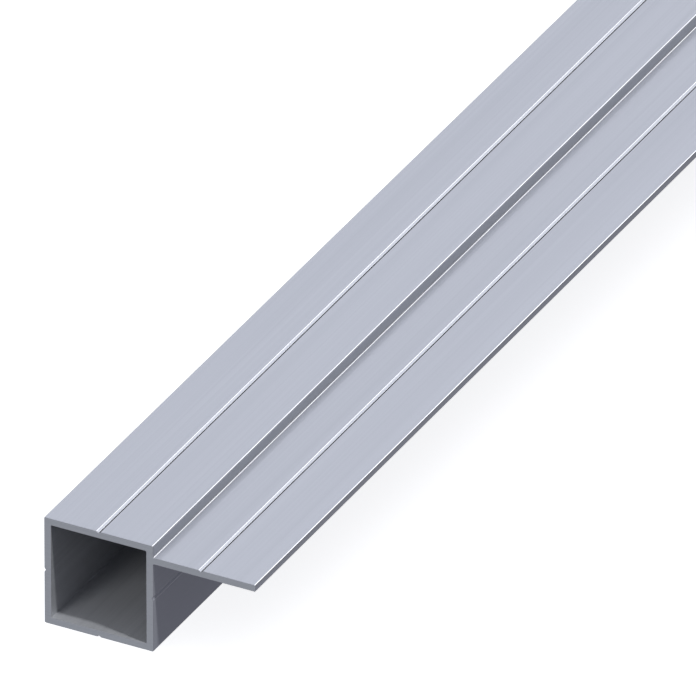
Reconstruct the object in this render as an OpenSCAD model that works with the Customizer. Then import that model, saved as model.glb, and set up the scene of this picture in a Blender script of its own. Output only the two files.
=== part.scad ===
// Aluminium extrusion: a square tube with one flat fin along its upper side.
// The section lies in X-Z and runs along Y. It stands on the tube's bottom face.

/* [Stock] */
// Length of the bar
bar_length = 1000; // [100:10:3000]

/* [Tube] */
// Outside width and height of the square tube
tube_w = 23.5; // [18:0.5:30]
// Thickness of the tube's walls
wall = 1.5; // [1:0.1:3]

/* [Fin] */
// How far the fin stands out from the tube's side
fin_reach = 22; // [17:0.5:40]
// Thickness of the fin
fin_t = 1.5; // [1:0.1:3]
// Step from the tube's top face down to the fin's top face
fin_drop = 2.5; // [1:0.1:10]

/* [Marking grooves] */
// Width of a marking groove at the surface
groove_w = 0.9; // [0.4:0.1:1.6]
// Depth of a marking groove
groove_depth = 0.3; // [0.2:0.05:0.8]

/* [Edges] */
// Radius on every outer edge that runs along the bar
edge_r = 0.25; // [0.1:0.05:0.45]
// Radius in the two corners where the fin meets the tube
root_r = 0.25; // [0.1:0.05:0.5]
// Radius in the corners of the tube's bore
bore_r = 0.2; // [0.1:0.05:0.5]

/* [Hidden] */
$fn = 48;

// How far a cutter or a filler runs past the face that it starts from
overrun = 0.5;

// The section, from the bounding box's centre line at X = 0 and the resting face at Z = 0
overall_w = tube_w + fin_reach;
tube_left = -overall_w / 2;
tube_right = tube_left + tube_w;
tube_centre = tube_left + tube_w / 2;
fin_tip = overall_w / 2;
fin_top = tube_w - fin_drop;
bore_w = tube_w - 2 * wall;

// The fin's groove lies on the centre line of a second tube set flush with the fin's tip
fin_groove_x = fin_tip - tube_w / 2;

// A rectangle from a low corner, with all four corners rounded by true arcs
module rounded_rect(low, size, r) {
    translate(low + [r, 0]) square([size[0] - 2 * r, size[1]]);
    translate(low + [0, r]) square([size[0], size[1] - 2 * r]);
    for (x = [r, size[0] - r], z = [r, size[1] - r])
        translate(low + [x, z]) circle(r);
}

// The solid left in a right-angled inner corner by a fillet; it fills towards -X and to the given side in Z
module corner_fillet(corner, r, side) {
    translate(corner) difference() {
        translate([-overrun, side > 0 ? -overrun : -r])
            square([overrun + r, overrun + r]);
        translate([r, side * r]) circle(r);
    }
}

// A V-shaped groove, cut in from a face at the given point and turned to that face's side
module groove(at, turn) {
    half_w = groove_w / 2;
    // The flanks run on past the face at their own slope
    flare = half_w * (1 + overrun / groove_depth);
    translate(at) rotate(turn)
        polygon([[0, -groove_depth], [flare, overrun], [-flare, overrun]]);
}

module tube_outline() {
    rounded_rect([tube_left, 0], [tube_w, tube_w], edge_r);
}

module fin_outline() {
    // The fin runs back to the middle of the tube's wall
    rounded_rect([tube_right - wall / 2, fin_top - fin_t], [fin_reach + wall / 2, fin_t], edge_r);
    corner_fillet([tube_right, fin_top], root_r, 1);
    corner_fillet([tube_right, fin_top - fin_t], root_r, -1);
}

module section() {
    difference() {
        union() {
            tube_outline();
            fin_outline();
        }
        rounded_rect([tube_left + wall, wall], [bore_w, bore_w], bore_r);
        groove([tube_centre, tube_w], 0);
        groove([tube_left, tube_w / 2], 90);
        groove([tube_centre, 0], 180);
        groove([tube_right, tube_w / 2], -90);
        groove([fin_groove_x, fin_top], 0);
    }
}

module profile() {
    color("silver")
        rotate([90, 0, 0])
            linear_extrude(height = bar_length, center = true)
                section();
}

profile();
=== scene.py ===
"""Looks of the aluminium extrusion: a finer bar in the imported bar's place, on a pale studio floor."""

import math

import bmesh
import bpy
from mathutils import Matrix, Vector


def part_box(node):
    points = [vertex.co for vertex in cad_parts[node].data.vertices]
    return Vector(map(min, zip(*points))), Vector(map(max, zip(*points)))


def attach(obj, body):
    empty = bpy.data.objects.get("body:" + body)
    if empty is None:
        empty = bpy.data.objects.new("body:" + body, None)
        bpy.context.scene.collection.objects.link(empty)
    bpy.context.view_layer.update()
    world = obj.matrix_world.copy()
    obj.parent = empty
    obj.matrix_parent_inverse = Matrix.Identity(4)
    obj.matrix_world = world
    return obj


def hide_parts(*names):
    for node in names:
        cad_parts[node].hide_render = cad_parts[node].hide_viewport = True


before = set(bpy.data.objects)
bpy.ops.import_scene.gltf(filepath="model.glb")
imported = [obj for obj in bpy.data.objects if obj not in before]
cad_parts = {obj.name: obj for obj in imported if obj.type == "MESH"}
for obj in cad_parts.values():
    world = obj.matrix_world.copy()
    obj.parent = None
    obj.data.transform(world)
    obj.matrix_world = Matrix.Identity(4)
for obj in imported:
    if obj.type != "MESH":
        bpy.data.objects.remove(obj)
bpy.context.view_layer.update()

MM = 0.001

# ---------------------------------------------------------------- the section's sizes
# The bar's outside comes from the frame. The rest repeats the named sizes of the CAD source.
BAR_LOW, BAR_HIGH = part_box("profile")
TUBE_W = BAR_HIGH.z - BAR_LOW.z
WALL = 1.5 * MM
FIN_T = 1.5 * MM
FIN_DROP = 2.5 * MM
GROOVE_W = 0.9 * MM
GROOVE_DEPTH = 0.3 * MM
EDGE_R = 0.25 * MM
ROOT_R = 0.25 * MM
BORE_R = 0.2 * MM

# What only the finished surface has
LIP_R = 0.18 * MM  # rounding of a groove's two lips
APEX_R = 0.03 * MM  # rounding of a groove's bottom
BURR = 0.05 * MM  # the broken edge round each sawn end
ARC_STEP = math.radians(9)  # largest turn between two points of an arc
ARC_STEPS_MIN = 2
SLICE = 40 * MM  # length of the bar between two rings of points

# The unrolled map: the outside and the bore lie side by side over its whole height, then the two ends
MAP_WIDTH = 250 * MM
MAP_GAP = 1 * MM
END_UP = 60 * MM  # how far up the map the far end lies

TUBE_LEFT = BAR_LOW.x
TUBE_RIGHT = TUBE_LEFT + TUBE_W
TUBE_MID = TUBE_LEFT + TUBE_W / 2
FIN_TIP = BAR_HIGH.x
FIN_TOP = TUBE_W - FIN_DROP
FIN_LOW = FIN_TOP - FIN_T
FIN_GROOVE = FIN_TIP - TUBE_W / 2


# ---------------------------------------------------------------- outline of the section
# A corner is (x, z, radius, slot), where slot is the material of the straight stretch after the corner.
# The rounded edges take a brighter, glossier material as painted highlight; the step and two grooves' lee
# flanks take darker materials as painted shade.
OPEN, BORE, SAWN, STEP, LEE, EDGE = range(6)


def groove(at, along, first_flank=OPEN):
    """A groove's corners: its middle is at `at`, and the outline runs in the direction `along`."""
    x, z = at
    ax, az = along
    inward = (-az, ax)
    half = GROOVE_W / 2
    return [
        (x - ax * half, z - az * half, LIP_R, first_flank),
        (x + inward[0] * GROOVE_DEPTH, z + inward[1] * GROOVE_DEPTH, APEX_R, OPEN),
        (x + ax * half, z + az * half, LIP_R, OPEN),
    ]


def outer_corners():
    """The outside, anticlockwise when seen from the near end."""
    return [
        (TUBE_LEFT, 0, EDGE_R, OPEN),
        *groove((TUBE_MID, 0), (1, 0)),
        (TUBE_RIGHT, 0, EDGE_R, OPEN),
        *groove((TUBE_RIGHT, TUBE_W / 2), (0, 1)),
        (TUBE_RIGHT, FIN_LOW, ROOT_R, OPEN),
        (FIN_TIP, FIN_LOW, EDGE_R, OPEN),
        (FIN_TIP, FIN_TOP, EDGE_R, OPEN),
        *groove((FIN_GROOVE, FIN_TOP), (-1, 0), LEE),
        (TUBE_RIGHT, FIN_TOP, ROOT_R, STEP),
        (TUBE_RIGHT, TUBE_W, EDGE_R, OPEN),
        *groove((TUBE_MID, TUBE_W), (-1, 0), LEE),
        (TUBE_LEFT, TUBE_W, EDGE_R, OPEN),
        *groove((TUBE_LEFT, TUBE_W / 2), (0, -1)),
    ]


def bore_corners():
    """The bore, clockwise, so that the metal is on the left hand here too."""
    low, high = WALL, TUBE_W - WALL
    left, right = TUBE_LEFT + WALL, TUBE_RIGHT - WALL
    places = ((left, low), (left, high), (right, high), (right, low))
    return [(x, z, BORE_R, BORE) for x, z in places]


def rounded(corners):
    """Points of a closed outline with arcs at its corners, as (x, z, normal x, normal z, slot).

    The slot is the material of the stretch from the point to the next one.
    """
    points = []
    count = len(corners)
    for i, (x, z, r, slot) in enumerate(corners):
        px, pz = corners[i - 1][:2]
        qx, qz = corners[(i + 1) % count][:2]
        before = Vector((x - px, z - pz)).normalized()
        after = Vector((qx - x, qz - z)).normalized()
        turn = math.atan2(before.x * after.y - before.y * after.x, before.dot(after))
        side = math.copysign(1.0, turn)
        # The metal is on the outline's left, so the outward normal is on its right
        start_normal = Vector((before.y, -before.x))
        start = Vector((x, z)) - before * (r * math.tan(abs(turn) / 2))
        centre = start - start_normal * (r * side)
        steps = max(ARC_STEPS_MIN, math.ceil(abs(turn) / ARC_STEP))
        for k in range(steps + 1):
            a = turn * k / steps
            c, s = math.cos(a), math.sin(a)
            n = Vector((start_normal.x * c - start_normal.y * s, start_normal.x * s + start_normal.y * c))
            p = centre + n * (r * side)
            # The arcs on the outside's faces and the step take the brighter edge material, a painted
            # highlight
            takes_painted_highlight = k < steps and slot in (OPEN, STEP)
            points.append((p.x, p.y, n.x, n.y, EDGE if takes_painted_highlight else slot))
    return points


# ---------------------------------------------------------------- the bar
def bar_rings():
    """Places along the bar as (y, inset): the broken edge at each end, and even slices between."""
    near, far = BAR_LOW.y, BAR_HIGH.y
    first, last = near + BURR, far - BURR
    slices = round((last - first) / SLICE)
    middle = [(first + (last - first) * k / slices, 0.0) for k in range(slices + 1)]
    return [(near, BURR), *middle, (far, BURR)]


def make_bar(name, materials):
    """The extruded bar as one closed mesh, with its materials in the order of the slots."""
    mesh = bpy.data.meshes.new(name)
    bm = bmesh.new()
    unrolled = bm.loops.layers.uv.new("OFBake")
    begin = 0.0  # how far the outlines before this one reach across the map
    rings = bar_rings()
    ends = {0: [], len(rings) - 1: []}  # the edges round each end's face, by ring
    normals = {}
    length = BAR_HIGH.y - BAR_LOW.y

    # The long faces, outside and in the bore
    for corners in (outer_corners(), bore_corners()):
        outline = rounded(corners)
        count = len(outline)
        grid = []
        for y, inset in rings:
            grid.append([bm.verts.new((x - nx * inset, y, z - nz * inset)) for x, z, nx, nz, _ in outline])
        for i in range(count):
            k = (i + 1) % count
            end = begin + math.dist(outline[i][:2], outline[k][:2])
            for j in range(len(rings) - 1):
                face = bm.faces.new((grid[j][i], grid[j + 1][i], grid[j + 1][k], grid[j][k]))
                face.smooth = True
                face.material_index = outline[i][4]
                for loop, at, across in zip(face.loops, (i, i, k, k), (begin, begin, end, end)):
                    normals[(face, loop.vert)] = Vector((outline[at][2], 0, outline[at][3]))
                    loop[unrolled].uv = (across / MAP_WIDTH, (loop.vert.co.y - BAR_LOW.y) / length)
            begin = end
        begin += MAP_GAP
        for ring in ends:
            row = grid[ring]
            ends[ring] += [bm.edges.get((row[i], row[(i + 1) % count])) for i in range(count)]

    # The sawn faces at both ends
    for ring, edges in ends.items():
        out = Vector((0, -1 if ring == 0 else 1, 0))
        made = bmesh.ops.triangle_fill(bm, edges=edges, use_beauty=True, normal=out)
        for face in [f for f in made["geom"] if isinstance(f, bmesh.types.BMFace)]:
            face.material_index = SAWN
            if face.normal.dot(out) < 0:
                face.normal_flip()
            for loop in face.loops:
                normals[(face, loop.vert)] = out
                x, _, z = loop.vert.co
                up = x - BAR_LOW.x + (MAP_GAP if ring == 0 else END_UP)
                loop[unrolled].uv = ((begin + z) / MAP_WIDTH, up / MAP_WIDTH)

    bm.normal_update()
    loop_normals = [normals[(face, loop.vert)] for face in bm.faces for loop in face.loops]
    bm.to_mesh(mesh)
    bm.free()
    mesh.normals_split_custom_set(loop_normals)
    for material in materials:
        mesh.materials.append(material)
    bar = bpy.data.objects.new(name, mesh)
    bpy.context.scene.collection.objects.link(bar)
    return bar


# ---------------------------------------------------------------- materials
NOISE_SPAN = (0.3, 0.7)  # nearly all of a noise texture's values lie between these
TOTAL_SPAN = (0.75, 1.25)  # and those of the sum of two noises between these
GRAIN = 0.01 * MM  # height of the fine lines and of the saw marks
BLACK = (0, 0, 0, 1)
WHITE = (1, 1, 1, 1)


class Nodes:
    """A new material with its Principled shader, and short ways to add linked nodes."""

    def __init__(self, name):
        self.material = bpy.data.materials.new(name)
        self.material.use_nodes = True
        self.tree = self.material.node_tree
        self.shader = self.tree.nodes["Principled BSDF"]

    def add(self, kind, **inputs):
        """A new node; an input is a value or another node's output, and _ stands for a space in its name."""
        node = self.tree.nodes.new(kind)
        for name, value in inputs.items():
            self.put(node.inputs[name.replace("_", " ")], value)
        return node

    def put(self, socket, value):
        """Sets the socket, or links it when the value is another node's output."""
        if isinstance(value, bpy.types.NodeSocket):
            self.tree.links.new(value, socket)
        else:
            socket.default_value = value

    def streaks(self, scale, detail):
        """Noise in the piece's own coordinates; `scale` is its cells per metre along X, Y and Z."""
        place = self.add("ShaderNodeTexCoord")
        stretch = self.add("ShaderNodeMapping", Vector=place.outputs["Object"], Scale=scale)
        noise = self.add("ShaderNodeTexNoise", Vector=stretch.outputs[0], Scale=1.0, Detail=detail)
        return noise.outputs["Fac"]

    def remap(self, value, low, high, span=NOISE_SPAN):
        """Takes the value from `span` to low..high."""
        limits = {"From_Min": span[0], "From_Max": span[1], "To_Min": low, "To_Max": high}
        return self.add("ShaderNodeMapRange", Value=value, **limits).outputs["Result"]

    def total(self, a, b):
        """The sum of two values."""
        node = self.tree.nodes.new("ShaderNodeMath")  # it adds unless told otherwise
        self.put(node.inputs[0], a)
        self.put(node.inputs[1], b)
        return node.outputs[0]

    def blend(self, factor, a, b):
        """A colour between a and b."""
        node = self.tree.nodes.new("ShaderNodeMix")
        node.data_type = "RGBA"
        self.put(node.inputs["Factor"], factor)
        self.put(node.inputs["A"], a)
        self.put(node.inputs["B"], b)
        return node.outputs["Result"]

    def finish(self, **inputs):
        """Sets or links the shader's inputs and returns the material."""
        for name, value in inputs.items():
            self.put(self.shader.inputs[name.replace("_", " ")], value)
        return self.material


def satin_anodised():
    """The outside: satin faces with fine and broader lines along the bar."""
    n = Nodes("satin_anodised")
    fine = n.streaks((2500, 6, 2500), 3)
    broad = n.streaks((260, 1.5, 260), 2)
    lines = n.remap(n.total(fine, broad), 0, 1, TOTAL_SPAN)
    colour = n.blend(lines, (0.55, 0.57, 0.63, 1), (0.586, 0.606, 0.668, 1))
    rough = n.remap(fine, 0.21, 0.27)
    bump = n.add("ShaderNodeBump", Strength=0.18, Distance=GRAIN, Height=fine)
    return n.finish(Base_Color=colour, Metallic=0.62, Roughness=rough, Normal=bump.outputs[0])


def painted_highlight_edge():
    """The rounded edges: a brighter, glossier metal than the faces, painted highlight."""
    return Nodes("painted_highlight_edge").finish(Base_Color=(0.94, 0.95, 0.97, 1), Metallic=1.0, Roughness=0.18)


def painted_shade_step():
    """The step's face: the same metal in a darker colour, painted shade."""
    return Nodes("painted_shade_step").finish(Base_Color=(0.30, 0.31, 0.34, 1), Metallic=0.62, Roughness=0.3)


def painted_shade_flank():
    """A groove's lee flank: dark and matt, painted shade."""
    shade = (0.035, 0.035, 0.04, 1)
    return Nodes("painted_shade_flank").finish(Base_Color=shade, Roughness=0.7, Specular_IOR_Level=0.1)


def mill_finish():
    """The bore: plain extruded surface with broader die lines."""
    n = Nodes("mill_finish")
    lines = n.streaks((1200, 4, 1200), 3)
    colour = n.blend(n.remap(lines, 0, 1), (0.46, 0.47, 0.495, 1), (0.52, 0.53, 0.555, 1))
    rough = n.remap(lines, 0.44, 0.52)
    return n.finish(Base_Color=colour, Metallic=0.6, Roughness=rough)


def sawn_aluminium():
    """The bare sawn face at each end, with fine saw marks across it."""
    n = Nodes("sawn_aluminium")
    marks = n.streaks((90, 90, 2600), 3)
    colour = n.blend(n.remap(marks, 0, 1), (0.375, 0.39, 0.42, 1), (0.42, 0.435, 0.465, 1))
    rough = n.remap(marks, 0.42, 0.52)
    bump = n.add("ShaderNodeBump", Strength=0.3, Distance=GRAIN, Height=marks)
    return n.finish(Base_Color=colour, Metallic=0.55, Roughness=rough, Normal=bump.outputs[0])


def floor_paint():
    """Pale matt paint that also glows, so that the floor is as white as the backdrop."""
    return Nodes("floor_paint").finish(
        Base_Color=(0.80, 0.80, 0.80, 1),
        Roughness=0.9,
        Specular_IOR_Level=0.1,
        Emission_Color=WHITE,
        Emission_Strength=0.8,
    )


bar = make_bar(
    "extruded_bar",
    [
        satin_anodised(),  # OPEN
        mill_finish(),  # BORE
        sawn_aluminium(),  # SAWN
        painted_shade_step(),  # STEP
        painted_shade_flank(),  # LEE
        painted_highlight_edge(),  # EDGE
    ],
)
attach(bar, "root")
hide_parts("profile")


# ---------------------------------------------------------------- camera
AZIMUTH = math.radians(27.63)
ELEVATION = math.radians(30.77)
LENS = 1700.0  # mm; so long that the bar's edges look nearly parallel
SENSOR = 36.0  # mm
CLIP = (0.1, 100.0)  # m
FIELD = 133.7 * MM  # width of what the frame shows
# The middle of the frame shows a place beside the step's upper edge
AIM = Vector((TUBE_RIGHT - 1.5 * MM, BAR_LOW.y + 82.8 * MM, TUBE_W - 0.2 * MM))

level = math.cos(ELEVATION)
back = Vector((math.sin(AZIMUTH) * level, -math.cos(AZIMUTH) * level, math.sin(ELEVATION)))
camera = bpy.data.objects.new("camera", bpy.data.cameras.new("camera"))
camera.data.lens = LENS
camera.data.sensor_width = SENSOR
camera.data.clip_start, camera.data.clip_end = CLIP
camera.location = AIM + back * (FIELD * LENS / SENSOR)
camera.rotation_mode = "QUATERNION"
camera.rotation_quaternion = (-back).to_track_quat("-Z", "Y")
bpy.context.scene.collection.objects.link(camera)
bpy.context.scene.camera = camera

# ---------------------------------------------------------------- floor
FLOOR_HALF = 60.0  # m, from the middle to each side
FLOOR_GAP = 0.02 * MM  # between the floor and the bar, so that their faces don't coincide

floor_mesh = bpy.data.meshes.new("floor")
floor_corners = ((-1, -1), (1, -1), (1, 1), (-1, 1))
floor_mesh.from_pydata([(x * FLOOR_HALF, y * FLOOR_HALF, 0) for x, y in floor_corners], [], [(0, 1, 2, 3)])
floor = bpy.data.objects.new("floor", floor_mesh)
floor.location.z = BAR_LOW.z - FLOOR_GAP
floor_mesh.materials.append(floor_paint())
# The floor shows to the camera only, so that the metal mirrors the studio and not a glowing floor
floor.visible_glossy = False
floor.visible_diffuse = False
bpy.context.scene.collection.objects.link(floor)

# ---------------------------------------------------------------- light
SKY = (0.58, 0.60, 0.65, 1)
PIT = (0.155, 0.155, 0.175, 1)
SKY_TOWARDS = Vector((-0.55, -0.38, 0.75)).normalized()
SKY_RANGE = (-0.4, 0.5)  # heights along SKY_TOWARDS between which the pit turns into the sky
# The softbox behind the bar, whose mirror image draws the bright edges
BOX_TOWARDS = Vector((0.057, 0.76, 0.647)).normalized()
BOX_ANGLES = (math.radians(24), math.radians(13))  # off its middle: where the glow starts and is full
BOX_GLOW = (1.4, 1.4, 1.42, 1)
BOX_FOOT = (0.79, 0.84)  # its lower edge fades out where a direction's Y goes from one to the other
# Lamps: where the light comes from, its power, its angular size and whether polished metal mirrors it
KEY = (Vector((0.521, -0.0875, 0.849)), 2.1, math.radians(3), True)
FILL = (Vector((-0.22, -0.84, 0.49)), 1.5, math.radians(20), False)  # shines into the bore

scene = bpy.context.scene
scene.view_settings.view_transform = "Standard"


def studio_world():
    """A soft sky over a dark pit, with one softbox in it. The camera sees plain white."""
    world = bpy.data.worlds.new("studio")
    world.use_nodes = True
    nodes, links = world.node_tree.nodes, world.node_tree.links
    place = nodes.new("ShaderNodeTexCoord")

    def ramp(towards, low, high, colour_low, colour_high):
        """A colour that turns evenly from one to the other with the direction's nearness to `towards`."""
        dot = nodes.new("ShaderNodeVectorMath")
        dot.operation = "DOT_PRODUCT"
        dot.inputs[1].default_value = towards
        links.new(place.outputs["Generated"], dot.inputs[0])
        span = nodes.new("ShaderNodeMapRange")
        span.inputs["From Min"].default_value = low
        span.inputs["From Max"].default_value = high
        links.new(dot.outputs["Value"], span.inputs["Value"])
        mix = nodes.new("ShaderNodeMix")
        mix.data_type = "RGBA"
        mix.inputs["A"].default_value = colour_low
        mix.inputs["B"].default_value = colour_high
        links.new(span.outputs["Result"], mix.inputs["Factor"])
        return mix.outputs["Result"]

    def combined(how, a, b):
        """The two colours added or multiplied."""
        mix = nodes.new("ShaderNodeMix")
        mix.data_type = "RGBA"
        mix.blend_type = how
        mix.inputs["Factor"].default_value = 1
        links.new(a, mix.inputs["A"])
        links.new(b, mix.inputs["B"])
        return mix.outputs["Result"]

    sky = ramp(SKY_TOWARDS, *SKY_RANGE, PIT, SKY)
    box = ramp(BOX_TOWARDS, *(math.cos(a) for a in BOX_ANGLES), BLACK, BOX_GLOW)
    above_foot = ramp(Vector((0, 1, 0)), *BOX_FOOT, WHITE, BLACK)
    light = nodes["Background"]
    links.new(combined("ADD", sky, combined("MULTIPLY", box, above_foot)), light.inputs["Color"])
    backdrop = nodes.new("ShaderNodeBackground")
    backdrop.inputs["Color"].default_value = WHITE
    path = nodes.new("ShaderNodeLightPath")
    seen = nodes.new("ShaderNodeMixShader")
    links.new(path.outputs["Is Camera Ray"], seen.inputs["Fac"])
    links.new(light.outputs["Background"], seen.inputs[1])
    links.new(backdrop.outputs["Background"], seen.inputs[2])
    links.new(seen.outputs["Shader"], nodes["World Output"].inputs["Surface"])
    return world


scene.world = studio_world()

# The lamps light the metal only, and leave no hard shadow on the floor
lit = bpy.data.collections.new("lit_by_lamps")
lit.objects.link(bar)


def lamp(name, towards, power, angle, mirrored):
    """A sun lamp; the comment above KEY and FILL says what the values are."""
    data = bpy.data.lights.new(name, "SUN")
    data.energy = power
    data.angle = angle
    light = bpy.data.objects.new(name, data)
    light.rotation_mode = "QUATERNION"
    light.rotation_quaternion = towards.to_track_quat("Z", "Y")
    light.visible_glossy = mirrored
    light.light_linking.receiver_collection = lit
    scene.collection.objects.link(light)


lamp("key", *KEY)
lamp("fill", *FILL)
